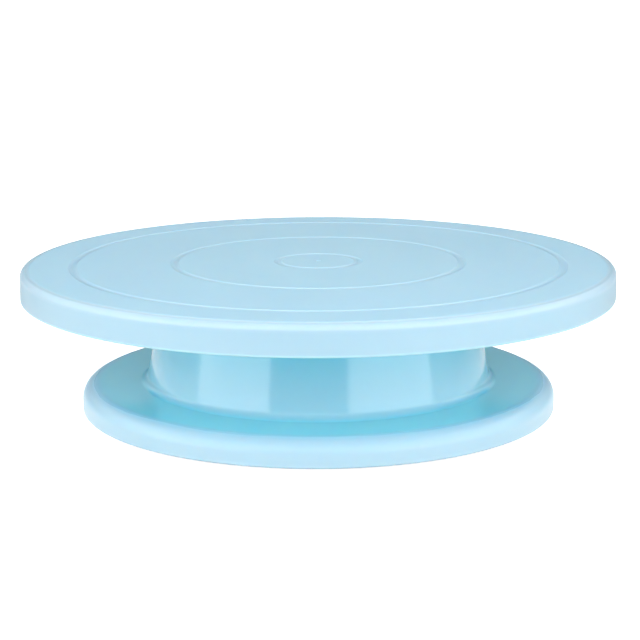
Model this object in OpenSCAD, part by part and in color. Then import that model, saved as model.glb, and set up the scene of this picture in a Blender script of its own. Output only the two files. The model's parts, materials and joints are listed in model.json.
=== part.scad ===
// Cake turntable: a round moulded plate that spins on a caged ball bearing over a moulded foot.
// Millimetres, +Z up. The origin is on the table, on the spin axis.

/* [Overall] */
// Height from the table to the top of the plate
overall_h = 70; // [64:0.5:100]

/* [Top plate] */
// Diameter of the plate at its lower lip
plate_d = 280; // [260:1:340]
// Thickness of the plate
plate_wall = 2.6; // [2:0.1:3.5]
// Height of the plate's edge, from its top to its lower lip
skirt_h = 14; // [11:0.5:18]
// Thickness of the skirt
skirt_wall = 2.4; // [1.8:0.1:3.5]
// Lean of the skirt for demoulding, in degrees
skirt_draft = 1; // [0:0.25:3]
// Radius of the plate's upper edge
plate_edge_r = 4; // [3:0.25:6]
// Radius along the skirt's lower lip
lip_edge_r = 0.8; // [0.3:0.1:0.9]

/* [Guide rings] */
// Diameter of the inner guide ring
inner_ring_d = 38; // [30:1:60]
// Diameter of the middle guide ring
middle_ring_d = 136; // [90:1:170]
// Diameter of the outer guide ring
outer_ring_d = 231; // [190:1:240]
// Width of each guide ring's groove
guide_groove_w = 4; // [2:0.1:5]
// Depth of each guide ring's groove
guide_groove_depth = 0.3; // [0.2:0.05:0.8]
// Diameter of the dimple that marks the plate's centre
center_dimple_d = 2.4; // [1.5:0.1:4]
// Depth of the centre dimple
center_dimple_depth = 0.5; // [0.2:0.05:0.7]

/* [Plate underside] */
// Number of radial ribs under the plate
plate_rib_count = 8; // [6:1:16]
// Thickness of the ribs and rings under the plate
plate_rib_t = 2; // [1.2:0.1:3]
// Gap between the ribs and the base's deck
rib_gap = 1.2; // [0.6:0.1:2.5]
// How far the dust ring hangs below the deck's top, around the neck
dust_ring_drop = 3; // [1:0.5:4]
// Gap between the dust ring and the neck
dust_gap = 1.5; // [0.8:0.1:3]

/* [Base] */
// Diameter of the base's flange
base_d = 225; // [210:1:260]
// Thickness of the base's walls
base_wall = 2.6; // [2:0.1:3.5]
// Height of the flange, from its lower rim to its top
flange_h = 12.8; // [10:0.1:16]
// Radius of the flange's upper edge
base_edge_r = 7; // [5:0.25:9]
// Radius along the flange's lower rim
rim_edge_r = 1; // [0.4:0.1:1.2]
// Diameter of the neck where its cone meets the flange
neck_foot_d = 164; // [156:1:170]
// Diameter of the neck where its cone meets the deck
neck_top_d = 147; // [140:1:154]
// Radius of the fillet between the neck and the flange
neck_fillet_r = 4; // [2:0.25:5]
// Thickness of the deck on top of the neck
deck_wall = 3.2; // [2.6:0.1:4.5]
// Radius of the deck's outer edge
deck_edge_r = 3; // [1.5:0.25:4]
// Radius of the inside corners under the deck
deck_fillet_r = 2; // [1:0.25:3]
// Number of radial ribs inside the base
base_rib_count = 6; // [4:1:8]
// Thickness of the base's ribs
base_rib_t = 2.2; // [1.4:0.1:3]
// Height of the ribs' lower edge above the rim
base_rib_lift = 3; // [1:0.5:5]
// How far the ribs stop above the hub's lower end
hub_rib_lift = 6; // [3:0.5:10]

/* [Bearing] */
// Number of balls
ball_count = 12; // [8:1:20]
// Diameter of the balls
ball_d = 6; // [5:0.5:7]
// Diameter of the circle through the ball centres
race_pitch_d = 104; // [90:1:116]
// Width of each race ring
race_w = 12; // [10:0.5:15]
// Thickness of each race ring
race_t = 2; // [1.6:0.1:3]
// Depth of the groove in each race ring
race_groove_depth = 1.2; // [0.8:0.1:1.3]
// Depth of the lower race's seat in the deck
race_seat_depth = 1; // [0.6:0.1:1.4]
// Height of the rings under the plate that hold the upper race
race_rib_h = 2.4; // [1.6:0.1:3]
// Running clearance between a ball and its grooves
ball_clearance = 0.1; // [0.05:0.01:0.15]
// Width of the ball cage
cage_w = 11; // [9:0.5:13]
// Thickness of the ball cage
cage_t = 2.4; // [1.6:0.1:2.8]
// Clearance between a ball and its pocket in the cage
pocket_clearance = 0.15; // [0.08:0.01:0.25]

/* [Pivot] */
// Diameter of the screw's shoulder
shoulder_d = 8; // [6.5:0.5:10]
// Diameter of the screw's thread
thread_d = 6; // [4:0.5:6]
// Length of the screw's thread
thread_len = 5.2; // [4:0.1:5.6]
// Diameter of the screw's head
head_d = 13; // [12:0.5:16]
// Height of the screw's head
head_h = 5; // [4:0.5:8]
// Hex socket in the screw's head, across flats
socket_af = 5; // [3:0.5:6]
// Depth of the hex socket
socket_depth = 2.8; // [1.5:0.1:3.2]
// Chamfer on the screw's edges
screw_chamfer = 0.5; // [0.2:0.1:0.8]
// Diameter of the threaded insert
insert_d = 9; // [8:0.5:11]
// Length of the threaded insert
insert_len = 6; // [5.8:0.1:6.6]
// Wall of the plate's boss round the insert
boss_wall = 5; // [3:0.5:7]
// Wall of the bushes
bush_wall = 1.8; // [1.2:0.1:2.5]
// Length of each bush's sleeve, without its flange
bush_len = 8; // [5:0.5:10]
// Diameter of the bushes' flanges
bush_flange_d = 18; // [17:0.5:20]
// Thickness of the bushes' flanges
bush_flange_t = 1.2; // [0.8:0.1:1.6]
// Wall of the hub round the bushes
hub_wall = 6; // [4.5:0.5:8]
// Length of the hub, down from the deck's top
hub_len = 24; // [22:0.5:28]
// Running clearance between the shoulder and each bush
shaft_clearance = 0.05; // [0.03:0.01:0.08]
// End play of the pivot
end_play = 0.2; // [0.1:0.05:0.4]
// Diameter of the thrust washer and the spring washer
washer_d = 15; // [13:0.5:17]
// Thickness of the thrust washer
washer_t = 1; // [0.6:0.1:1.5]
// Thickness of the spring washer's sheet
spring_t = 0.6; // [0.4:0.1:0.8]
// Height of the spring washer's cone
spring_h = 1.2; // [1:0.1:1.6]

/* [Feet] */
// Number of rubber pads
foot_count = 6; // [3:1:8]
// Diameter of each pad
foot_d = 15; // [10:0.5:17]
// Height of each pad
foot_h = 4.5; // [3:0.1:6]
// How far the pads stand below the rim
foot_proud = 1.5; // [0.8:0.1:2.2]
// Diameter of the circle through the pads' centres
foot_circle_d = 192; // [188:1:196]
// Wall of the sockets that hold the pads
foot_socket_wall = 2; // [1.4:0.1:2.6]
// Radius of each pad's lower edge
foot_edge_r = 0.8; // [0.3:0.1:1]

/* [Hidden] */
$fn = 96;
arc_steps = 10;
seat_clearance = 0.05; // between pieces that are pressed or set into one another
weld = 0.6; // how far a rib or boss runs into the wall that carries it

plate_r = plate_d / 2;
plate_under_z = overall_h - plate_wall;
lip_z = overall_h - skirt_h;
plate_inner_edge_r = max(plate_edge_r - plate_wall, lip_edge_r);

pitch_r = race_pitch_d / 2;
ball_r = ball_d / 2;
groove_r = ball_r + ball_clearance;
race_gap = 2 * (groove_r - race_groove_depth);
upper_race_z = plate_under_z - race_t;
ball_z = upper_race_z - race_gap / 2;
lower_race_z = ball_z - race_gap / 2 - race_t;
deck_z = lower_race_z + race_seat_depth;
race_seat_inner_r = pitch_r - race_w / 2 - seat_clearance;
race_seat_outer_r = pitch_r + race_w / 2 + seat_clearance;

rim_z = foot_proud;
flange_z = rim_z + flange_h;
flange_under_z = flange_z - base_wall;
deck_under_z = deck_z - deck_wall;
base_r = base_d / 2;
neck_foot_r = neck_foot_d / 2;
neck_lean = atan((neck_foot_d - neck_top_d) / 2 / (deck_z - flange_z));
neck_fillet_c = [neck_foot_r + neck_fillet_r * tan(45 - neck_lean / 2), flange_z + neck_fillet_r];
flange_edge_c = [base_r - base_edge_r, flange_z - base_edge_r];

bush_bore_r = shoulder_d / 2 + shaft_clearance;
bush_r = bush_bore_r + bush_wall;
hub_bore_r = bush_r + seat_clearance;
hub_r = hub_bore_r + hub_wall;
hub_z = deck_z - hub_len;

boss_z = deck_z + bush_flange_t + end_play;
boss_r = insert_d / 2 + boss_wall;
rib_z = deck_z + rib_gap;
dust_ring_z = deck_z - dust_ring_drop;
dust_ring_r = neck_r(dust_ring_z) + dust_gap;

washer_z = hub_z - bush_flange_t - end_play - washer_t;
spring_z = washer_z - spring_h;
head_z = spring_z - head_h;
washer_bore_r = shoulder_d / 2 + 2 * seat_clearance;

foot_socket_r = foot_d / 2 + seat_clearance + foot_socket_wall;
foot_socket_z = rim_z + rim_edge_r / 2;

moulding_blue = "#a9d8ee";
steel = "#b9bcc0";
brass = "#c8a24c";
natural_nylon = "#ece9df";
rubber_grey = "#4a4c4f";

// Points along an arc, from one angle to another
function arc(center, radius, from, to) =
    [for (i = [0:arc_steps]) center + radius * [cos(from + (to - from) * i / arc_steps),
                                                sin(from + (to - from) * i / arc_steps)]];

// Outer radius of the neck's cone at a height
function neck_r(z) = neck_foot_r - (z - flange_z) * tan(neck_lean);

// Inner radius of the neck's wall at a height
function neck_inner_r(z) = neck_r(z) - base_wall / cos(neck_lean);

// Centre of a corner arc between a level face and a side that leans in above it
function corner_c(side_r, z, radius, lean) = [side_r - radius / cos(lean), z - radius];

// Radius of the skirt's outer side at a height
function skirt_r(z) = plate_r - (z - lip_z) * tan(skirt_draft);

// Half section of the plate's web and skirt, from the axis out and back underneath
function plate_section() = concat(
    [[0, plate_under_z], [0, overall_h]],
    arc(corner_c(skirt_r(overall_h - plate_edge_r), overall_h, plate_edge_r, skirt_draft),
        plate_edge_r, 90, skirt_draft),
    arc([skirt_r(lip_z + lip_edge_r) - lip_edge_r / cos(skirt_draft), lip_z + lip_edge_r],
        lip_edge_r, skirt_draft, -90),
    [[plate_r - skirt_wall, lip_z]],
    arc(corner_c(skirt_r(plate_under_z - plate_inner_edge_r) - skirt_wall, plate_under_z,
                 plate_inner_edge_r, skirt_draft),
        plate_inner_edge_r, skirt_draft, 90)
);

// A ring's half section hanging from the plate
module hanging_ring(inner_r, width, z) {
    translate([inner_r, z])
        square([width, plate_under_z + weld - z]);
}

// A round-bottomed groove cut from above, given by its width and depth
module shallow_groove(r, width, depth) {
    cut_r = (pow(width / 2, 2) + pow(depth, 2)) / (2 * depth);
    translate([r, overall_h - depth + cut_r])
        circle(cut_r);
}

module plate_profile() {
    difference() {
        union() {
            polygon(plate_section());
            hanging_ring(0, boss_r, boss_z);
            hanging_ring(race_seat_inner_r - plate_rib_t, plate_rib_t, plate_under_z - race_rib_h);
            hanging_ring(race_seat_outer_r, plate_rib_t, plate_under_z - race_rib_h);
            hanging_ring(dust_ring_r, plate_rib_t, dust_ring_z);
        }
        for (d = [inner_ring_d, middle_ring_d, outer_ring_d])
            shallow_groove(d / 2, guide_groove_w, guide_groove_depth);
        intersection() {
            shallow_groove(0, center_dimple_d, center_dimple_depth);
            translate([0, overall_h - center_dimple_depth])
                square([center_dimple_d, 2 * center_dimple_depth]);
        }
        translate([0, boss_z - weld])
            square([insert_d / 2 + seat_clearance, insert_len + weld]);
    }
}

// A radial rib under the plate between two radii
module plate_rib(from_r, to_r) {
    translate([from_r, -plate_rib_t / 2, rib_z])
        cube([to_r - from_r, plate_rib_t, plate_under_z + weld - rib_z]);
}

module top_plate() {
    color(moulding_blue) {
        rotate_extrude()
            plate_profile();
        for (i = [0:plate_rib_count - 1])
            rotate(i * 360 / plate_rib_count) {
                plate_rib(boss_r - weld, race_seat_inner_r - plate_rib_t / 2);
                plate_rib(race_seat_outer_r + plate_rib_t / 2, plate_r - skirt_wall);
            }
    }
}

// Half section of the base: deck, neck, flange and back up inside to the hub
function base_section() = concat(
    [[hub_bore_r, deck_z],
     [race_seat_inner_r, deck_z],
     [race_seat_inner_r, lower_race_z],
     [race_seat_outer_r, lower_race_z],
     [race_seat_outer_r, deck_z]],
    arc(corner_c(neck_r(deck_z - deck_edge_r), deck_z, deck_edge_r, neck_lean), deck_edge_r, 90, neck_lean),
    arc(neck_fillet_c, neck_fillet_r, 180 + neck_lean, 270),
    arc(flange_edge_c, base_edge_r, 90, 0),
    arc([base_r - rim_edge_r, rim_z + rim_edge_r], rim_edge_r, 0, -90),
    [[base_r - base_wall, rim_z]],
    arc(flange_edge_c, base_edge_r - base_wall, 0, 90),
    arc(neck_fillet_c, neck_fillet_r + base_wall, 270, 180 + neck_lean),
    arc(corner_c(neck_inner_r(deck_under_z - deck_fillet_r), deck_under_z, deck_fillet_r, neck_lean),
        deck_fillet_r, neck_lean, 90),
    arc([hub_r + deck_fillet_r, deck_under_z - deck_fillet_r], deck_fillet_r, 90, 180),
    [[hub_r, hub_z], [hub_bore_r, hub_z]]
);

// A web from the hub to the rim, sunk into the middle of the walls that it stiffens
module base_rib() {
    wall_mid = base_wall / 2;
    deck_mid_z = deck_under_z + (deck_wall - race_seat_depth) / 2;
    flange_mid_z = flange_under_z + wall_mid;
    hub_mid_r = hub_r - hub_wall / 2;
    rotate([90, 0, 0])
        linear_extrude(base_rib_t, center = true)
            polygon(concat(
                [[hub_mid_r, deck_mid_z],
                 [neck_inner_r(deck_mid_z) + wall_mid, deck_mid_z],
                 [neck_inner_r(flange_mid_z) + wall_mid, flange_mid_z]],
                arc(flange_edge_c, base_edge_r - wall_mid, 90, 0),
                [[base_r - wall_mid, rim_z + base_rib_lift],
                 [neck_inner_r(flange_mid_z), rim_z + base_rib_lift],
                 [hub_mid_r, hub_z + hub_rib_lift]]
            ));
}

// Puts its children at each foot's place, round the flange
module at_foot(i) {
    rotate(i * 360 / foot_count)
        translate([foot_circle_d / 2, 0, 0])
            children();
}

module base_shell() {
    color(moulding_blue)
        difference() {
            union() {
                rotate_extrude()
                    polygon(base_section());
                for (i = [0:base_rib_count - 1])
                    rotate((i + 0.5) * 360 / base_rib_count)
                        base_rib();
                for (i = [0:foot_count - 1])
                    at_foot(i)
                        translate([0, 0, foot_socket_z])
                            cylinder(r = foot_socket_r, h = flange_under_z + weld - foot_socket_z);
            }
            for (i = [0:foot_count - 1])
                at_foot(i)
                    cylinder(r = foot_d / 2 + seat_clearance, h = foot_h);
        }
}

// One race ring, lying on z = 0 with its groove on top
module race_ring() {
    color(steel)
        rotate_extrude()
            difference() {
                translate([pitch_r - race_w / 2, 0])
                    square([race_w, race_t]);
                translate([pitch_r, race_t + groove_r - race_groove_depth])
                    circle(groove_r);
            }
}

module lower_race() {
    translate([0, 0, lower_race_z])
        race_ring();
}

module upper_race() {
    translate([0, 0, plate_under_z])
        mirror([0, 0, 1])
            race_ring();
}

// Puts its children at one ball's centre
module at_ball(i) {
    rotate(i * 360 / ball_count)
        translate([pitch_r, 0, ball_z])
            children();
}

module ball(i) {
    color(steel)
        at_ball(i)
            sphere(ball_r);
}

module ball_cage() {
    color(natural_nylon)
        difference() {
            rotate_extrude()
                translate([pitch_r - cage_w / 2, ball_z - cage_t / 2])
                    square([cage_w, cage_t]);
            for (i = [0:ball_count - 1])
                at_ball(i)
                    sphere(ball_r + pocket_clearance);
        }
}

module threaded_insert() {
    color(brass)
        translate([0, 0, boss_z])
            difference() {
                cylinder(d = insert_d, h = insert_len);
                translate([0, 0, -weld])
                    cylinder(r = thread_d / 2 + seat_clearance, h = insert_len + 2 * weld);
            }
}

// The screw's half section, from its head up through the shoulder to the thread's tip
function screw_section() = [
    [0, head_z],
    [head_d / 2 - screw_chamfer, head_z],
    [head_d / 2, head_z + screw_chamfer],
    [head_d / 2, spring_z - screw_chamfer],
    [head_d / 2 - screw_chamfer, spring_z],
    [shoulder_d / 2, spring_z],
    [shoulder_d / 2, boss_z],
    [thread_d / 2, boss_z],
    [thread_d / 2, boss_z + thread_len - screw_chamfer],
    [thread_d / 2 - screw_chamfer, boss_z + thread_len],
    [0, boss_z + thread_len]
];

module pivot_screw() {
    color(steel)
        difference() {
            rotate_extrude()
                polygon(screw_section());
            translate([0, 0, head_z - weld])
                cylinder(d = socket_af / cos(30), h = socket_depth + weld, $fn = 6);
        }
}

module thrust_washer() {
    color(natural_nylon)
        translate([0, 0, washer_z])
            difference() {
                cylinder(d = washer_d, h = washer_t);
                translate([0, 0, -weld])
                    cylinder(r = washer_bore_r, h = washer_t + 2 * weld);
            }
}

// A coned sheet ring: its inner edge bears on the thrust washer, its outer edge on the head
module spring_washer() {
    outer_r = min(washer_d, head_d - 2 * screw_chamfer) / 2;
    color(steel)
        rotate_extrude()
            polygon([
                [washer_bore_r, washer_z - spring_t],
                [outer_r, spring_z],
                [outer_r, spring_z + spring_t],
                [washer_bore_r, washer_z]
            ]);
}

// One flanged sleeve, standing on its flange
module bush() {
    color(natural_nylon)
        rotate_extrude()
            polygon([
                [bush_bore_r, -bush_flange_t],
                [bush_flange_d / 2, -bush_flange_t],
                [bush_flange_d / 2, 0],
                [bush_r, 0],
                [bush_r, bush_len],
                [bush_bore_r, bush_len]
            ]);
}

module upper_bush() {
    translate([0, 0, deck_z])
        mirror([0, 0, 1])
            bush();
}

module lower_bush() {
    translate([0, 0, hub_z])
        bush();
}

module foot_pad(i) {
    color(rubber_grey)
        at_foot(i)
            rotate_extrude()
                polygon(concat(
                    [[0, foot_h], [0, 0]],
                    arc([foot_d / 2 - foot_edge_r, foot_edge_r], foot_edge_r, -90, 0),
                    [[foot_d / 2, foot_h]]
                ));
}

top_plate();
base_shell();
lower_race();
upper_race();
ball_cage();
for (i = [1:ball_count])
    ball(i - 1);
threaded_insert();
pivot_screw();
thrust_washer();
spring_washer();
upper_bush();
lower_bush();
for (i = [1:foot_count])
    foot_pad(i - 1);
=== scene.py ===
"""Looks, light and camera for the cake turntable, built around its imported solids.

The scene is in metres, +Z up. Sizes of the pieces are written in millimetres and turned into metres as
meshes are made. Heights and radii in the materials are in metres.
"""
import json
import math

import bmesh
import bpy
from mathutils import Matrix, Vector


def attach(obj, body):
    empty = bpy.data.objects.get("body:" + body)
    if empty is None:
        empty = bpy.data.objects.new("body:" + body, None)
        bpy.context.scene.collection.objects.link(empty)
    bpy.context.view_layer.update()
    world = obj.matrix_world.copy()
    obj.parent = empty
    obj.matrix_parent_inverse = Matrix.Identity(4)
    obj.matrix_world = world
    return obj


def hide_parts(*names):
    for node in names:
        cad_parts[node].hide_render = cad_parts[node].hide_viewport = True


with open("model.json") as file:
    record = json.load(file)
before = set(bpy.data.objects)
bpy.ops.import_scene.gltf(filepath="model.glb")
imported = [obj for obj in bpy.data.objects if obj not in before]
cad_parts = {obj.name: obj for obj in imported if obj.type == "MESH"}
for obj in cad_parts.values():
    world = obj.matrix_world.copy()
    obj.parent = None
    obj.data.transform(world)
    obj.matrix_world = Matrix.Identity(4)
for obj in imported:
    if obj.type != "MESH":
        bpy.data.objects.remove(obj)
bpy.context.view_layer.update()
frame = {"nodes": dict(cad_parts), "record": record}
SCENE = bpy.context.scene
MM = 0.001


# Materials

class Tree:
    """The node tree of a material or of the world, with short ways to add and join nodes."""

    def __init__(self, name, owner=None):
        self.material = owner or bpy.data.materials.new(name)
        self.material.use_nodes = True
        self.tree = self.material.node_tree
        self.tree.nodes.clear()

    def node(self, kind, inputs=None, **settings):
        made = self.tree.nodes.new(kind)
        for key, value in settings.items():
            setattr(made, key, value)
        for key, value in (inputs or {}).items():
            self.feed(made.inputs[key], value)
        return made

    def feed(self, socket, value):
        if isinstance(value, bpy.types.NodeSocket):
            self.tree.links.new(value, socket)
        else:
            socket.default_value = value

    def math(self, operation, a, b=0.0):
        return self.node("ShaderNodeMath", {0: a, 1: b}, operation=operation).outputs[0]

    def span(self, value, low, high, to_low=0.0, to_high=1.0):
        """A smooth step of value from low to high."""
        ends = {"Value": value, "From Min": low, "From Max": high, "To Min": to_low, "To Max": to_high}
        return self.node("ShaderNodeMapRange", ends, interpolation_type="SMOOTHSTEP").outputs["Result"]

    def noise(self, vector, scale, detail=2.0, roughness=0.5):
        ends = {"Vector": vector, "Scale": scale, "Detail": detail, "Roughness": roughness}
        return self.node("ShaderNodeTexNoise", ends).outputs["Fac"]

    def mix(self, share, a, b):
        made = self.node("ShaderNodeMix", data_type="RGBA")
        for socket, value in zip((made.inputs[0], made.inputs[6], made.inputs[7]), (share, a, b)):
            self.feed(socket, value)
        return made.outputs[2]

    def tint(self, tone, share, strength, colour):
        """Lays a colour over tone by a mask and a strength."""
        return self.mix(self.math("MULTIPLY", share, strength), tone, colour)

    def ramp(self, value, stops, peak):
        """Greys over value from stops (place, level), as shares of the peak level."""
        made = self.node("ShaderNodeValToRGB", {"Fac": value})
        elements = made.color_ramp.elements
        for place, level in stops[2:]:
            elements.new(place)
        for element, (place, level) in zip(elements, stops):
            element.position = place
            share = level / peak
            element.color = rgb(share, share, share)
        return made.outputs["Color"]

    def bump(self, height, strength, distance, normal=None):
        ends = {"Height": height, "Strength": strength, "Distance": distance}
        if normal is not None:
            ends["Normal"] = normal
        return self.node("ShaderNodeBump", ends).outputs["Normal"]

    def vector(self, x, y, z):
        return self.node("ShaderNodeCombineXYZ", {"X": x, "Y": y, "Z": z}).outputs[0]

    def place(self):
        """Object coordinates, which are the part's own metres at rest, and z, the radius and the angle."""
        where = self.node("ShaderNodeTexCoord").outputs["Object"]
        x, y, z = self.node("ShaderNodeSeparateXYZ", {"Vector": where}).outputs
        flat = self.vector(x, y, 0.0)
        radius = self.node("ShaderNodeVectorMath", {0: flat}, operation="LENGTH").outputs["Value"]
        return where, z, radius, self.math("ARCTAN2", y, x)

    def shader(self, **inputs):
        """Ends the tree in one Principled shader. Underscores in the names stand for spaces."""
        named = {key.replace("_", " "): value for key, value in inputs.items()}
        made = self.node("ShaderNodeBsdfPrincipled", named)
        self.node("ShaderNodeOutputMaterial", {"Surface": made.outputs[0]})
        return self.material


def rgb(r, g, b):
    return (r, g, b, 1.0)


def plastic_depth(reach):
    """How far light goes into the plastic, in metres: least in red, most in blue."""
    return dict(IOR=1.49, Subsurface_Weight=1.0, Subsurface_Radius=(0.6, 1.0, 1.2), Subsurface_Scale=reach)


def plate_plastic():
    """The plate: a flat top worn duller than its grooves, painted shade in a crease and over the skirt, and
    paler painted highlights on the shoulder and the lip.
    """
    t = Tree("plate_plastic")
    where, z, radius, angle = t.place()
    cloud = t.span(t.noise(where, 7.0, 3.0), 0.3, 0.7)
    speck = t.span(t.noise(where, 160.0, 2.0), 0.45, 0.75)
    tracks = t.vector(t.math("MULTIPLY", radius, 240.0), t.math("MULTIPLY", angle, 1.3), 0.0)
    wear = t.span(t.noise(tracks, 1.0, 2.0, 0.6), 0.50, 0.78)
    on_top = t.math("MULTIPLY", t.span(z, 0.0690, 0.0697), t.span(radius, 0.134, 0.128))
    scuffs = t.math("MULTIPLY", wear, on_top)
    lip = t.span(z, 0.0574, 0.0564)
    edge = t.span(radius, 0.1354, 0.1376)
    shoulder = t.math("MULTIPLY", edge, t.span(z, 0.0650, 0.0680))
    crease = t.math("MULTIPLY", t.span(radius, 0.1364, 0.1371), t.span(radius, 0.1384, 0.1376))
    tone = t.mix(cloud, rgb(0.385, 0.652, 0.806), rgb(0.399, 0.665, 0.820))
    # Painted shade: a greyer, darker tone over the skirt and the shoulder, which holds back how brightly they
    # are lit.
    tone = t.tint(tone, edge, 0.9, rgb(0.392, 0.606, 0.718))
    # Painted highlight: a paler, warmer tone on the rounded shoulder, where the lights catch it.
    tone = t.tint(tone, shoulder, 0.8, rgb(0.500, 0.668, 0.775))
    # Painted shade: a thin darker ring in the crease between the step and the shoulder.
    tone = t.tint(tone, crease, 0.8, rgb(0.360, 0.570, 0.690))
    tone = t.tint(tone, speck, 0.03, rgb(0.50, 0.79, 0.92))
    tone = t.tint(tone, scuffs, 0.04, rgb(0.60, 0.84, 0.94))
    # Painted highlight: a bright pale line along the skirt's lower lip.
    tone = t.tint(tone, lip, 0.7, rgb(0.51, 0.86, 0.97))
    rough = t.math("ADD", t.span(t.noise(where, 30.0, 4.0), 0.3, 0.7, 0.285, 0.315),
                   t.math("MULTIPLY", scuffs, 0.02))
    grain = t.bump(t.noise(where, 320.0, 2.0), 0.01, 0.0001)
    skirt = t.math("MULTIPLY", edge, t.span(z, 0.0668, 0.0640))
    flat_gloss = t.span(z, 0.06994, 0.06999, 0.5, 0.12)
    shine = t.math("ADD", flat_gloss, t.span(skirt, 0.0, 1.0, 0.0, 0.4))
    return t.shader(Base_Color=tone, Roughness=rough, Normal=grain, Specular_IOR_Level=shine,
                    **plastic_depth(0.0015))


def base_plastic():
    """The base: a deep tone of painted shade up the neck and on the flange, and paler painted light at the
    neck's foot and round the rim.
    """
    t = Tree("base_plastic")
    where, z, radius, angle = t.place()
    cloud = t.span(t.noise(where, 8.0, 3.0), 0.3, 0.7)
    speck = t.span(t.noise(where, 160.0, 2.0), 0.45, 0.75)
    rim = t.span(radius, 0.1022, 0.1105)
    face = t.math("MULTIPLY", rim, t.span(z, 0.0105, 0.0070))
    foot = t.span(z, 0.0560, 0.0188)
    flange = t.math("MULTIPLY", t.span(radius, 0.0815, 0.0852), t.span(z, 0.0200, 0.0180))
    worn = t.math("MULTIPLY", t.span(z, 0.0042, 0.0022), t.span(t.noise(where, 60.0, 4.0), 0.35, 0.7))
    tone = t.mix(cloud, rgb(0.264, 0.830, 0.990), rgb(0.279, 0.845, 0.995))
    # Painted light and shade: paler towards the neck's foot, where light reaches under the plate, and deeper
    # above, standing for the plate's shade.
    tone = t.mix(foot, tone, rgb(0.375, 0.680, 0.785))
    # Painted shade: the deep tone again over the fillet and the flange under the plate.
    tone = t.mix(flange, tone, rgb(0.285, 0.810, 0.995))
    # Painted light: paler tones round the rim and on its lower face, where the light falls.
    tone = t.tint(tone, rim, 0.9, rgb(0.460, 0.650, 0.760))
    tone = t.tint(tone, face, 0.9, rgb(0.468, 0.675, 0.785))
    tone = t.tint(tone, speck, 0.04, rgb(0.47, 0.80, 0.93))
    tone = t.tint(tone, worn, 0.30, rgb(0.60, 0.82, 0.92))
    rough = t.math("ADD", t.span(t.noise(where, 34.0, 4.0), 0.3, 0.7, 0.12, 0.15),
                   t.math("MULTIPLY", rim, 0.20))
    grain = t.bump(t.noise(where, 320.0, 2.0), 0.006, 0.0001)
    return t.shader(Base_Color=tone, Roughness=rough, Normal=grain, **plastic_depth(0.0005))


def metal(name, dark, light, smooth, coarse, turned):
    """A metal with fine turned lines round the axis, a cloudy tone and small stains.

    Its roughness runs from smooth to coarse, and turned is the depth of the lines in the bump.
    """
    t = Tree(name)
    where, z, radius, angle = t.place()
    lines = t.vector(t.math("MULTIPLY", radius, 9000.0), t.math("MULTIPLY", z, 9000.0),
                     t.math("MULTIPLY", angle, 1.5))
    turning = t.noise(lines, 1.0, 2.0)
    stain = t.span(t.noise(where, 60.0, 5.0, 0.65), 0.58, 0.75)
    tone = t.mix(t.span(t.noise(where, 180.0, 4.0), 0.3, 0.7), rgb(*dark), rgb(*light))
    tone = t.tint(tone, stain, 0.25, rgb(*[0.7 * v for v in dark]))
    rough = t.math("ADD", t.span(turning, 0.3, 0.7, smooth, coarse), t.math("MULTIPLY", stain, 0.1))
    return t.shader(Base_Color=tone, Roughness=rough, Metallic=1.0, Normal=t.bump(turning, turned, 0.00004))


def nylon():
    t = Tree("nylon")
    where = t.place()[0]
    tone = t.mix(t.span(t.noise(where, 120.0, 4.0), 0.3, 0.7), rgb(0.70, 0.66, 0.55), rgb(0.79, 0.76, 0.67))
    rough = t.span(t.noise(where, 400.0, 2.0), 0.3, 0.7, 0.38, 0.52)
    return t.shader(Base_Color=tone, Roughness=rough, Normal=t.bump(t.noise(where, 3000.0), 0.1, 0.00005))


def rubber():
    t = Tree("rubber")
    where, z, radius, angle = t.place()
    dust = t.math("MULTIPLY", t.span(z, 0.0008, 0.0001), t.span(t.noise(where, 500.0, 4.0), 0.4, 0.7))
    cloud = t.span(t.noise(where, 160.0, 4.0), 0.3, 0.7)
    tone = t.mix(cloud, rgb(0.026, 0.026, 0.029), rgb(0.045, 0.045, 0.048))
    tone = t.tint(tone, dust, 0.5, rgb(0.16, 0.155, 0.15))
    rough = t.span(t.noise(where, 700.0, 2.0), 0.3, 0.7, 0.62, 0.8)
    grain = t.bump(t.noise(where, 2600.0, 3.0), 0.2, 0.0001)
    return t.shader(Base_Color=tone, Roughness=rough, Normal=grain)


MATERIALS = {
    "plate_plastic": plate_plastic(),
    "base_plastic": base_plastic(),
    "race_steel": metal("race_steel", (0.34, 0.35, 0.37), (0.46, 0.47, 0.49), 0.29, 0.38, 0.15),
    "ball_steel": metal("ball_steel", (0.58, 0.59, 0.61), (0.66, 0.67, 0.69), 0.04, 0.09, 0.02),
    "screw_steel": metal("screw_steel", (0.42, 0.43, 0.46), (0.55, 0.56, 0.58), 0.29, 0.40, 0.2),
    "brass": metal("brass", (0.50, 0.33, 0.10), (0.66, 0.47, 0.18), 0.29, 0.38, 0.2),
    "nylon": nylon(),
    "rubber": rubber(),
}
SLOTS = {part["node"]: part["material_slot"] for part in frame["record"]["subparts"]}
BODIES = {node: body for body, nodes in frame["record"]["behaviour"]["bodies"].items() for node in nodes}


# Mesh tools

SHARP_DEG = 32.0


def arc_step(radius):
    """How far apart the points of an arc are, in degrees: close on the wide arcs that show most."""
    return 6.0 if radius >= 2.5 else 12.0 if radius >= 0.8 else 30.0


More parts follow.
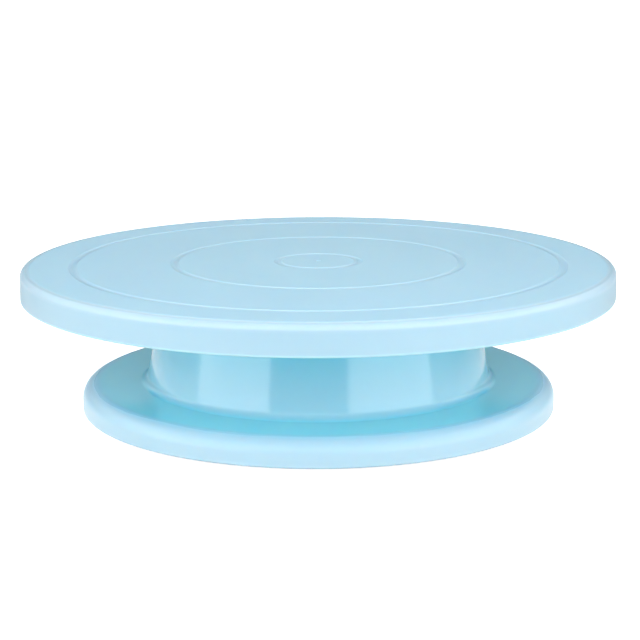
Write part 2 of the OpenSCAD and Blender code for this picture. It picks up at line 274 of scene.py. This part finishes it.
def rounded(corners, closed=False):
    """A profile's points from corners (r, z, radius). Each corner with a radius becomes an arc."""
    points = []
    count = len(corners)
    for i, corner in enumerate(corners):
        here = Vector(corner[:2])
        radius = corner[2] if len(corner) > 2 else 0.0
        if not radius or (not closed and i in (0, count - 1)):
            points.append(here)
            continue
        back = (Vector(corners[i - 1][:2]) - here).normalized()
        on = (Vector(corners[(i + 1) % count][:2]) - here).normalized()
        half = back.angle(on) / 2
        center = here + (back + on).normalized() * radius / math.sin(half)
        start = here + back * radius / math.tan(half) - center
        turn = start.angle_signed(here + on * radius / math.tan(half) - center)
        steps = max(2, math.ceil(abs(math.degrees(turn)) / arc_step(radius)))
        for k in range(steps + 1):
            points.append(center + Matrix.Rotation(-turn * k / steps, 2) @ start)
    return [(p[0], p[1]) for p in points]


def lathe(points, segments, closed=False, shape=None):
    """A bmesh turned about Z from profile points in millimetres. Points on the axis become poles.

    shape, where given, takes r, z and the angle and returns the radius there.
    """
    made = bmesh.new()
    rings = []
    for r, z in points:
        if r < 1e-6:
            rings.append([made.verts.new((0.0, 0.0, z * MM))])
            continue
        ring = []
        for i in range(segments):
            angle = 2 * math.pi * i / segments
            at = (shape(r, z, angle) if shape else r) * MM
            ring.append(made.verts.new((at * math.cos(angle), at * math.sin(angle), z * MM)))
        rings.append(ring)
    pairs = list(zip(rings, rings[1:])) + ([(rings[-1], rings[0])] if closed else [])
    for a, b in pairs:
        for i in range(segments):
            j = (i + 1) % segments
            face = [a[i % len(a)], a[j % len(a)], b[j % len(b)], b[i % len(b)]]
            face = list(dict.fromkeys(face))
            if len(face) > 2:
                made.faces.new(face)
    bmesh.ops.recalc_face_normals(made, faces=made.faces)
    return made


def solid(outline, thickness, edge=0.0):
    """A bmesh plate in the XZ plane from an outline in millimetres, centred on Y, with eased edges."""
    made = bmesh.new()
    front = [made.verts.new((x * MM, -thickness / 2 * MM, z * MM)) for x, z in outline]
    back = [made.verts.new((x * MM, thickness / 2 * MM, z * MM)) for x, z in outline]
    made.faces.new(front)
    made.faces.new(back[::-1])
    count = len(outline)
    for i in range(count):
        j = (i + 1) % count
        made.faces.new([front[j], front[i], back[i], back[j]])
    bmesh.ops.recalc_face_normals(made, faces=made.faces)
    if edge:
        rims = [e for e in made.edges if abs(e.verts[0].co.y - e.verts[1].co.y) < 1e-9]
        bmesh.ops.bevel(made, geom=rims, offset=edge * MM, segments=2, affect="EDGES", profile=0.5)
    return made


def prism(sides, across_flats, z_low, z_high):
    """A bmesh prism on the axis, in millimetres."""
    return lathe([(0, z_low), (across_flats / 2 / math.cos(math.pi / sides), z_low),
                  (across_flats / 2 / math.cos(math.pi / sides), z_high), (0, z_high)], sides)


def turned(made, degrees, shift=(0.0, 0.0, 0.0)):
    """Moves a bmesh by shift, in millimetres, then turns it about Z."""
    bmesh.ops.transform(made, matrix=Matrix.Rotation(math.radians(degrees), 4, "Z")
                        @ Matrix.Translation(Vector(shift) * MM), verts=made.verts)
    return made


def thing(name, made):
    data = bpy.data.meshes.new(name)
    made.to_mesh(data)
    made.free()
    obj = bpy.data.objects.new(name, data)
    SCENE.collection.objects.link(obj)
    return obj


def cut_or_join(obj, tools, operation):
    """Joins each tool bmesh to obj, or cuts it from obj, and applies the result."""
    holder = bpy.data.collections.new("tools")
    SCENE.collection.children.link(holder)
    made = [thing(f"tool_{i}", tool) for i, tool in enumerate(tools)]
    for tool in made:
        SCENE.collection.objects.unlink(tool)
        holder.objects.link(tool)
    step = obj.modifiers.new("step", "BOOLEAN")
    step.operation = operation
    step.operand_type = "COLLECTION"
    step.collection = holder
    step.solver = "MANIFOLD"
    result = bpy.data.meshes.new_from_object(obj.evaluated_get(bpy.context.evaluated_depsgraph_get()))
    obj.modifiers.clear()
    old = obj.data
    obj.data = result
    bpy.data.meshes.remove(old)
    for tool in made:
        bpy.data.objects.remove(tool)
    bpy.data.collections.remove(holder)


def shade(obj):
    """Smooth over round faces, sharp at edges, with normals that follow the larger faces."""
    for face in obj.data.polygons:
        face.use_smooth = True
    obj.data.set_sharp_from_angle(angle=math.radians(SHARP_DEG))
    normals = obj.modifiers.new("normals", "WEIGHTED_NORMAL")
    normals.mode = "FACE_AREA"
    normals.weight = 50
    normals.keep_sharp = True


def stand_for(obj, node):
    """Gives a finished piece the material, body and slot of the CAD node that it replaces."""
    obj.data.materials.clear()
    obj.data.materials.append(MATERIALS[SLOTS[node]])
    shade(obj)
    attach(obj, BODIES[node])
    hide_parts(node)
    return obj


# Top plate

TOP_Z, UNDER_Z, LIP_Z = 70.0, 67.4, 56.0
PLATE_R, SKIRT_WALL, SKIRT_DRAFT = 140.0, 2.4, math.tan(math.radians(1.0))
RING_RADII = (19.0, 68.0, 115.5)
GROOVE_W, GROOVE_DEPTH, GROOVE_EASE = 4.0, 0.3, 0.5
STEP_R, STEP_W, SHOULDER_Z, SHOULDER_R = 135.4, 1.2, 69.74, 2.9
PLATE_RIBS, PLATE_RIB_T, PLATE_RIB_Z = 8, 2.0, 61.8
PLATE_RIB_SPANS = ((8.9, 44.95), (59.05, 138.2))
GUARD_NEAR_R, GUARD_FAR_R, GUARD_Z = 75.54, 77.54, 57.6
SEAT_NEAR_R, SEAT_FAR_R, SEAT_WALL, SEAT_WALL_Z = 45.95, 58.05, 2.0, 65.0
BOSS_R, BOSS_Z, BOSS_BORE_R, BOSS_BORE_Z = 9.5, 62.0, 4.55, 68.0
MARK_R, MARK_DEPTH, MARK_CIRCLES = 3.5, 0.15, (30.0, 108.0)
RIB_EASE, RIB_SINK, MARK_SINK = 0.35, 0.6, 0.5


def skirt_r(z):
    return PLATE_R - (z - LIP_Z) * SKIRT_DRAFT


def groove(r):
    """Corners across one guide ring's groove, from the inside out: a shallow arc with eased edges."""
    cut_r = ((GROOVE_W / 2) ** 2 + GROOVE_DEPTH ** 2) / (2 * GROOVE_DEPTH)
    center_z = TOP_Z - GROOVE_DEPTH + cut_r
    steps = 8
    corners = [(r - GROOVE_W / 2, TOP_Z, GROOVE_EASE)]
    for k in range(1, steps):
        across = GROOVE_W / 2 * (2 * k / steps - 1)
        corners.append((r + across, center_z - math.sqrt(cut_r ** 2 - across ** 2)))
    return corners + [(r + GROOVE_W / 2, TOP_Z, GROOVE_EASE)]


def hanging_ring(inner, outer, z, root=0.4):
    """Corners down round a ring under the plate, from the outside in."""
    return [(outer, UNDER_Z, root), (outer, z, 0.3), (inner, z, 0.3), (inner, UNDER_Z, root)]


def make_plate():
    dimple = [(0.0, 69.5), (0.5, 69.57), (0.9, 69.76), (1.2, TOP_Z, 0.2)]
    top = dimple + [corner for r in RING_RADII for corner in groove(r)]
    edge = [(STEP_R, TOP_Z, 2.5), (STEP_R + STEP_W, SHOULDER_Z, 2.5),
            (skirt_r(SHOULDER_Z), SHOULDER_Z, SHOULDER_R),
            (skirt_r(LIP_Z), LIP_Z, 0.8), (PLATE_R - SKIRT_WALL, LIP_Z, 0.4),
            (skirt_r(UNDER_Z) - SKIRT_WALL, UNDER_Z, 1.4)]
    boss = [(BOSS_R, UNDER_Z, 0.6), (BOSS_R, BOSS_Z, 0.4), (BOSS_BORE_R, BOSS_Z, 0.2),
            (BOSS_BORE_R, BOSS_BORE_Z), (0.0, BOSS_BORE_Z)]
    under = (hanging_ring(GUARD_NEAR_R, GUARD_FAR_R, GUARD_Z)
             + hanging_ring(SEAT_FAR_R, SEAT_FAR_R + SEAT_WALL, SEAT_WALL_Z, 0.2)
             + hanging_ring(SEAT_NEAR_R - SEAT_WALL, SEAT_NEAR_R, SEAT_WALL_Z, 0.2) + boss)
    plate = thing("plate_moulding", lathe(rounded(top + edge + under), 256))
    ribs, marks = [], []
    for i in range(PLATE_RIBS):
        for near, far in PLATE_RIB_SPANS:
            root_z = UNDER_Z + RIB_SINK
            outline = [(near, PLATE_RIB_Z), (far, PLATE_RIB_Z), (far, root_z), (near, root_z)]
            ribs.append(turned(solid(outline, PLATE_RIB_T, RIB_EASE), i * 360 / PLATE_RIBS))
        for r in MARK_CIRCLES:
            mark_z = UNDER_Z - MARK_DEPTH
            mark = rounded([(0, mark_z), (MARK_R, mark_z, 0.1), (MARK_R, UNDER_Z + MARK_SINK),
                            (0, UNDER_Z + MARK_SINK)])
            marks.append(turned(lathe(mark, 32), (i + 0.5) * 360 / PLATE_RIBS, (r, 0, 0)))
    cut_or_join(plate, ribs + marks, "UNION")
    return stand_for(plate, "top_plate")


make_plate()


# Base

BASE_WALL, FLANGE_Z, RIM_Z, DECK_Z, DECK_UNDER_Z = 2.6, 14.3, 1.5, 60.6, 57.4
FLANGE_UNDER_Z, BASE_R, FLANGE_EDGE_R = 11.7, 112.5, 7.0
NECK_FOOT_R, NECK_TOP_R = 82.0, 73.5
NECK_SLOPE = (NECK_FOOT_R - NECK_TOP_R) / (DECK_Z - FLANGE_Z)
HUB_R, HUB_BORE_R, HUB_Z = 11.9, 5.9, 36.6
DECK_SEAT_Z, NECK_TOP_EDGE_R, NECK_FILLET_R = 59.6, 3.0, 4.0
BASE_RIBS, BASE_RIB_T, BASE_RIB_LOW_Z = 6, 2.2, 4.5
WEB_HUB_R, WEB_HUB_Z, WEB_TOP_Z = 8.9, 42.6, 58.5
FEET, FOOT_CIRCLE_R, PAD_TOP_Z = 6, 96.0, 4.5
SOCKET_R, SOCKET_BORE_R, SOCKET_LOW_Z, SOCKET_SINK = 9.55, 7.55, 2.0, 0.6


def neck_inner_r(z):
    lean = math.atan(NECK_SLOPE)
    return NECK_FOOT_R - (z - FLANGE_Z) * NECK_SLOPE - BASE_WALL / math.cos(lean)


def make_base():
    section = [(HUB_BORE_R, DECK_Z, 0.3), (SEAT_NEAR_R, DECK_Z, 0.2), (SEAT_NEAR_R, DECK_SEAT_Z),
               (SEAT_FAR_R, DECK_SEAT_Z), (SEAT_FAR_R, DECK_Z, 0.2), (NECK_TOP_R, DECK_Z, NECK_TOP_EDGE_R),
               (NECK_FOOT_R, FLANGE_Z, NECK_FILLET_R), (BASE_R, FLANGE_Z, FLANGE_EDGE_R),
               (BASE_R, RIM_Z, 1.0), (BASE_R - BASE_WALL, RIM_Z, 0.4),
               (BASE_R - BASE_WALL, FLANGE_UNDER_Z, FLANGE_EDGE_R - BASE_WALL),
               (neck_inner_r(FLANGE_UNDER_Z), FLANGE_UNDER_Z, NECK_FILLET_R + BASE_WALL),
               (neck_inner_r(DECK_UNDER_Z), DECK_UNDER_Z, 2.0), (HUB_R, DECK_UNDER_Z, 2.0),
               (HUB_R, HUB_Z, 0.5), (HUB_BORE_R, HUB_Z, 0.3)]
    base = thing("base_moulding", lathe(rounded(section, closed=True), 256, closed=True))
    middle = BASE_WALL / 2
    flange_mid = FLANGE_UNDER_Z + middle
    bend_r, bend_z, bend_mid = BASE_R - FLANGE_EDGE_R, FLANGE_Z - FLANGE_EDGE_R, FLANGE_EDGE_R - middle
    bend = [(bend_r + bend_mid * math.cos(a), bend_z + bend_mid * math.sin(a))
            for a in (math.radians(90 - 9 * k) for k in range(11))]
    outline = [(WEB_HUB_R, WEB_TOP_Z), (neck_inner_r(WEB_TOP_Z) + middle, WEB_TOP_Z),
               (neck_inner_r(flange_mid) + middle, flange_mid), *bend, (BASE_R - middle, BASE_RIB_LOW_Z),
               (neck_inner_r(flange_mid), BASE_RIB_LOW_Z), (WEB_HUB_R, WEB_HUB_Z)]
    webs = [turned(solid(outline, BASE_RIB_T, RIB_EASE), (i + 0.5) * 360 / BASE_RIBS)
            for i in range(BASE_RIBS)]
    root_z = FLANGE_UNDER_Z + SOCKET_SINK
    socket = rounded([(0, PAD_TOP_Z), (SOCKET_BORE_R, PAD_TOP_Z), (SOCKET_BORE_R, SOCKET_LOW_Z, 0.3),
                      (SOCKET_R, SOCKET_LOW_Z, 0.4), (SOCKET_R, root_z), (0, root_z)])
    sockets = [turned(lathe(socket, 64), i * 360 / FEET, (FOOT_CIRCLE_R, 0, 0)) for i in range(FEET)]
    cut_or_join(base, webs + sockets, "UNION")
    return stand_for(base, "base_shell")


make_base()


# Bearing, pivot and feet

PITCH_R, RACE_HALF_W, RACE_T = 52.0, 6.0, 2.0
RACE_GROOVE_R, RACE_GROOVE_DEPTH = 3.1, 1.2


def make_race(node, seat_z, up):
    """A race ring on its seat, with its groove facing up (1) or down (-1)."""
    reach = math.sqrt(RACE_GROOVE_R ** 2 - (RACE_GROOVE_R - RACE_GROOVE_DEPTH) ** 2)
    center_h = RACE_T + RACE_GROOVE_R - RACE_GROOVE_DEPTH
    steps = 12
    across = [reach * (1 - 2 * k / steps) for k in range(1, steps)]
    track = [(PITCH_R + x, center_h - math.sqrt(RACE_GROOVE_R ** 2 - x ** 2)) for x in across]
    inner, outer = PITCH_R - RACE_HALF_W, PITCH_R + RACE_HALF_W
    corners = [(inner, 0.0, 0.25), (outer, 0.0, 0.25), (outer, RACE_T, 0.3), (PITCH_R + reach, RACE_T, 0.15),
               *track, (PITCH_R - reach, RACE_T, 0.15), (inner, RACE_T, 0.3)]
    section = [(r, seat_z + up * h) for r, h in rounded(corners, closed=True)]
    return stand_for(thing(f"{node}_ring", lathe(section, 192, closed=True)), node)


def ridge(turns):
    """A wave from 0 to 1 and back over one turn, straight up and down."""
    return 1.0 - abs(2.0 * (turns % 1.0) - 1.0)


KNURL_TEETH, KNURL_DEPTH = 48, 0.22
THREAD_PITCH, THREAD_DEPTH, THREAD_LOW, THREAD_HIGH = 1.0, 0.55, 62.7, 66.7


def screw_r(r, z, angle):
    """The screw's radius with its knurled head and its thread."""
    if r > 6.3 and 28.6 < z < 32.4:
        return r - KNURL_DEPTH * ridge(KNURL_TEETH * angle / (2 * math.pi))
    if THREAD_LOW < z < THREAD_HIGH:
        flank = min(1.0, 1.35 * ridge(z / THREAD_PITCH - angle / (2 * math.pi)))
        return r - THREAD_DEPTH * (1.0 - flank)
    return r


def make_screw():
    rows = 41
    thread = [(3.0, THREAD_LOW + (THREAD_HIGH - THREAD_LOW) * k / (rows - 1)) for k in range(rows)]
    head = [(0, 28.0), (6.05, 28.0, 0.2), (6.5, 28.5), (6.5, 28.7), (6.5, 32.3), (6.5, 32.5),
            (6.05, 33.0, 0.2)]
    shank = [(4.0, 33.0, 0.2), (4.0, 61.7), (3.7, 62.0), (2.5, 62.0, 0.2), (2.5, 62.4)]
    section = rounded(head + shank) + thread + [(2.6, 67.2), (0, 67.2)]
    screw = thing("pivot_screw_turned", lathe(section, 192, shape=screw_r))
    lead_in = lathe([(0, 27.4), (3.6, 27.4), (2.6, 28.4), (0, 28.4)], 48)
    socket = prism(6, 5.0, 27.4, 30.8)
    drill = lathe([(0, 30.0), (2.3, 30.0), (2.3, 30.8), (0, 31.6)], 48)
    for tool in (socket, lead_in, drill):
        cut_or_join(screw, [tool], "DIFFERENCE")
    return stand_for(screw, "pivot_screw")


INSERT_TEETH, INSERT_KNURL = 40, 0.25


def insert_r(r, z, angle):
    """The insert's radius with its two knurled bands."""
    banded = 62.5 < z < 64.5 or 65.5 < z < 67.5
    return r - INSERT_KNURL * ridge(INSERT_TEETH * angle / (2 * math.pi)) if banded and r > 4.3 else r


def make_insert():
    corners = [(3.3, 62.0), (4.1, 62.0, 0.1), (4.1, 62.3), (4.5, 62.6), (4.5, 64.4), (4.0, 64.7), (4.0, 65.3),
               (4.5, 65.6), (4.5, 67.4), (4.2, 68.0, 0.1), (3.3, 68.0), (3.05, 67.7), (3.05, 62.3)]
    insert = lathe(rounded(corners, closed=True), 160, closed=True, shape=insert_r)
    return stand_for(thing("threaded_insert_knurled", insert), "threaded_insert")


def make_bush(node, flange_z, up):
    """A flanged sleeve that stands up (1) or hangs down (-1) from its flange's seat."""
    corners = [(4.05, -1.2, 0.3), (9.0, -1.2, 0.3), (9.0, 0.0, 0.2), (5.85, 0.0), (5.85, 8.0, 0.3),
               (4.05, 8.0, 0.3)]
    section = [(r, flange_z + up * h) for r, h in rounded(corners, closed=True)]
    return stand_for(thing(f"{node}_sleeve", lathe(section, 96, closed=True)), node)


def make_washers():
    flat = rounded([(4.1, 34.2, 0.15), (7.5, 34.2, 0.2), (7.5, 35.2, 0.2), (4.1, 35.2, 0.15)], closed=True)
    stand_for(thing("thrust_washer_disc", lathe(flat, 96, closed=True)), "thrust_washer")
    coned = rounded([(4.1, 33.6, 0.12), (6.0, 33.0, 0.12), (6.0, 33.6, 0.12), (4.1, 34.2, 0.12)], closed=True)
    stand_for(thing("spring_washer_cone", lathe(coned, 96, closed=True)), "spring_washer")


def make_pads():
    """Rubber pads with three round lands that grip the table."""
    hollow = 0.45
    lands = ((1.8, 2.9), (4.3, 5.3))
    foot = [(0, hollow)]
    for near, far in lands:
        foot += [(near - 0.3, hollow, 0.1), (near, 0, 0.12), (far, 0, 0.12), (far + 0.3, hollow, 0.1)]
    foot += [(6.0, hollow, 0.1), (6.25, 0, 0.12), (7.5, 0, 0.8), (7.5, PAD_TOP_Z, 0.2), (0, PAD_TOP_Z)]
    section = rounded(foot)
    for i in range(FEET):
        pad = turned(lathe(section, 72), i * 360 / FEET, (FOOT_CIRCLE_R, 0, 0))
        stand_for(thing(f"foot_pad_{i + 1}_ringed", pad), f"foot_pad_{i + 1}")


make_race("lower_race", DECK_SEAT_Z, 1)
make_race("upper_race", UNDER_Z, -1)
make_screw()
make_insert()
make_bush("upper_bush", DECK_Z, -1)
make_bush("lower_bush", HUB_Z, 1)
make_washers()
make_pads()


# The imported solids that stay: their own shapes, shaded smoothly over round faces and sharply at edges

WELD_M = 2e-6
KEPT = ["ball_cage"] + [name for name in SLOTS if SLOTS[name] == "ball_steel"]


def dress(node):
    part = frame["nodes"][node]
    part.data.materials.clear()
    part.data.materials.append(MATERIALS[SLOTS[node]])
    weld = part.modifiers.new("weld", "WELD")
    weld.merge_threshold = WELD_M
    edges = part.modifiers.new("edges", "EDGE_SPLIT")
    edges.split_angle = math.radians(SHARP_DEG)
    normals = part.modifiers.new("normals", "WEIGHTED_NORMAL")
    normals.mode = "FACE_AREA"


for name in KEPT:
    dress(name)


# Floor, light and camera

AIM = Vector((0.0, 0.0, 0.04))
STAGE_SIZE = 30.0
FLOOR_WHITE = 0.93
FLOOR_GREY = 0.54
FLOOR_FALL, FLOOR_BEHIND = (0.00, 0.22), 0.20


def make_floor():
    """A pale floor, white to the camera and in reflections, where it falls off behind the object."""
    data = bpy.data.meshes.new("floor")
    half = STAGE_SIZE / 2
    corners = [(-half, -half, 0), (half, -half, 0), (half, half, 0), (-half, half, 0)]
    data.from_pydata(corners, [], [(0, 1, 2, 3)])
    made = bpy.data.objects.new("floor", data)
    SCENE.collection.objects.link(made)
    t = Tree("floor")
    path = t.node("ShaderNodeLightPath").outputs
    where = t.node("ShaderNodeTexCoord").outputs["Object"]
    y = t.node("ShaderNodeSeparateXYZ", {"Vector": where}).outputs["Y"]
    mirrored = t.math("MULTIPLY", t.math("MAXIMUM", path["Is Glossy Ray"], path["Is Transmission Ray"]),
                      t.span(y, *FLOOR_FALL, 1.0, FLOOR_BEHIND))
    seen = t.math("MAXIMUM", path["Is Camera Ray"], mirrored)
    level = t.math("MULTIPLY", seen, FLOOR_WHITE)
    white = t.node("ShaderNodeEmission", {"Color": rgb(1, 1, 1), "Strength": level})
    paper = t.node("ShaderNodeBsdfDiffuse", {"Color": rgb(*[FLOOR_GREY] * 3)})
    both = t.node("ShaderNodeAddShader", {0: white.outputs[0], 1: paper.outputs[0]})
    t.node("ShaderNodeOutputMaterial", {"Surface": both.outputs[0]})
    data.materials.append(t.material)


def softbox(name, azimuth, elevation, width, height, radiance, distance=1.5):
    """A rectangular light that faces the object, in degrees and metres.

    Azimuth 0 is towards the camera and 90 to the right.
    """
    data = bpy.data.lights.new(name, "AREA")
    data.shape = "RECTANGLE"
    data.size, data.size_y = width, height
    data.energy = radiance * math.pi * width * height
    made = bpy.data.objects.new(name, data)
    SCENE.collection.objects.link(made)
    a, e = math.radians(azimuth), math.radians(elevation)
    out = Vector((math.sin(a) * math.cos(e), -math.cos(a) * math.cos(e), math.sin(e)))
    made.location = AIM + out * distance
    made.rotation_euler = out.to_track_quat("Z", "Y").to_euler()
    made.visible_camera = False


softbox("softbox_left", -58.4, 5.5, 1.515, 0.29, 3.92)
softbox("softbox_right", 49.0, 5.5, 1.704, 0.29, 3.92)
softbox("softbox_front", 0.0, 40.0, 0.80, 0.30, 1.1, 0.9)
softbox("softbox_back", 180.0, 44.5, 1.10, 0.42, 2.25)
softbox("softbox_over", 0.0, 60.0, 0.60, 0.25, 1.3, 0.5)

# The world's level by the sine of the elevation: a dim horizon, a bright band that is weaker at the back,
# and a dark zenith
FRONT_SKY = ((0.0, 0.36), (0.18, 0.36), (0.30, 2.15), (0.66, 2.15), (0.72, 0.0))
SIDE_SKY = ((0.0, 1.35), (0.15, 1.35), (0.25, 2.15), (0.68, 2.15), (0.74, 0.0))
BACK_SKY = ((0.0, 0.10), (0.19, 0.10), (0.25, 0.58), (0.34, 0.80), (0.62, 0.75), (0.68, 0.0))
SKY_PEAK = max(level for height, level in FRONT_SKY + SIDE_SKY + BACK_SKY)
FRONT_TO_SIDE, SIDE_TO_BACK = (-0.45, -0.15), (0.25, 0.60)


def make_world():
    """Soft light from all round, by height and by side."""
    world = bpy.data.worlds.new("studio")
    SCENE.world = world
    t = Tree("world", world)
    towards = t.node("ShaderNodeTexCoord").outputs["Generated"]
    x, y, z = t.node("ShaderNodeSeparateXYZ", {"Vector": towards}).outputs
    front, side, back = [t.ramp(z, sky, SKY_PEAK) for sky in (FRONT_SKY, SIDE_SKY, BACK_SKY)]
    level = t.mix(t.span(y, *FRONT_TO_SIDE), front, side)
    level = t.mix(t.span(y, *SIDE_TO_BACK), level, back)
    light = t.node("ShaderNodeBackground", {"Color": level, "Strength": SKY_PEAK})
    t.node("ShaderNodeOutputWorld", {"Surface": light.outputs[0]})


make_floor()
make_world()

CAMERA_AT = (0.0008, -0.8027, 0.2158)
CAMERA_DOWN_DEG, CAMERA_ROLL_DEG = 12.267, -0.186
LENS_MM = 96.62
lens = bpy.data.cameras.new("camera")
lens.lens = LENS_MM
lens.sensor_width = 36.0
lens.clip_end = 100.0
camera = bpy.data.objects.new("camera", lens)
SCENE.collection.objects.link(camera)
camera.location = CAMERA_AT
tilt = Matrix.Rotation(math.radians(90.0 - CAMERA_DOWN_DEG), 3, "X")
camera.rotation_euler = (tilt @ Matrix.Rotation(math.radians(CAMERA_ROLL_DEG), 3, "Z")).to_euler()
SCENE.camera = camera
SCENE.view_settings.view_transform = "Standard"
